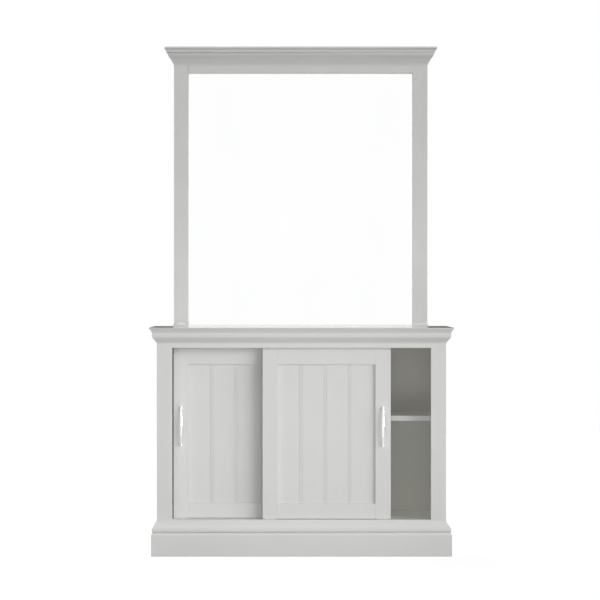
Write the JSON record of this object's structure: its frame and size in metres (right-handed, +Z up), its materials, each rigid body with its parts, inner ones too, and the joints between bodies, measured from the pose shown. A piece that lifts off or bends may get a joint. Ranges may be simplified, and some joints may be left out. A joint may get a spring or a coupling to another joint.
{
  "type": "chiffonier",
  "caption": "Painted chiffonier: a moulded base cupboard with bypassing boarded sliding doors and an inner shelf, under a tall framed mirror back with a crown cornice.",
  "frame": {"origin": "on the floor, under the middle of the top board's outline", "axes": "+X to the right seen from the front, +Y to the back, +Z up"},
  "size_m": [1.2, 0.45, 2.04],
  "materials": {
    "paint": "satin painted timber",
    "chrome": "polished",
    "mirror": "silvered glass",
    "backing": "bare board",
    "pine": "bare softwood",
    "nylon": "matt",
    "steel": "zinc plated"
  },
  "bodies": {
    "cabinet": {"back_panel": "paint", "bottom_board": "paint", "bottom_face_rail": "paint", "bottom_track": "paint", "corner_blocks": "pine", "cornice_cap": "paint", "door_stops": "paint", "front_bed_moulding": "paint", "front_cornice": "paint", "front_plinth_board": "paint", "front_plinth_cap": "paint", "front_stretcher": "pine", "left_bed_moulding": "paint", "left_cornice": "paint", "left_face_stile": "paint", "left_plinth_board": "paint", "left_plinth_cap": "paint", "left_post": "paint", "left_side_panel": "paint", "mirror_backing": "backing", "mirror_beads": "backing", "mirror_foot_rail": "backing", "mirror_glass": "mirror", "mirror_top_rail": "paint", "post_screws": "steel", "rear_plinth_rail": "pine", "rear_stretcher": "pine", "right_bed_moulding": "paint", "right_cornice": "paint", "right_face_stile": "paint", "right_plinth_board": "paint", "right_plinth_cap": "paint", "right_post": "paint", "right_side_panel": "paint", "shelf": "paint", "shelf_pegs": "steel", "top_board": "paint", "top_face_rail": "paint", "top_guide": "paint", "top_screws": "steel"},
    "front_door": {"front_door_boards": "paint", "front_door_bottom_rail": "paint", "front_door_glides": "nylon", "front_door_guide_pins": "nylon", "front_door_handle": "chrome", "front_door_handle_screws": "steel", "front_door_left_stile": "paint", "front_door_right_stile": "paint", "front_door_top_rail": "paint"},
    "rear_door": {"rear_door_boards": "paint", "rear_door_bottom_rail": "paint", "rear_door_glides": "nylon", "rear_door_guide_pins": "nylon", "rear_door_handle": "chrome", "rear_door_handle_screws": "steel", "rear_door_left_stile": "paint", "rear_door_right_stile": "paint", "rear_door_top_rail": "paint"}
  },
  "joints": [
    {"name": "front_door_slide", "type": "slide", "parent": "cabinet", "child": "front_door", "axis": [1, 0, 0], "range_m": [-0.362, 0.163]},
    {"name": "rear_door_slide", "type": "slide", "parent": "cabinet", "child": "rear_door", "axis": [1, 0, 0], "range_m": [-0.009, 0.496]}
  ]
}
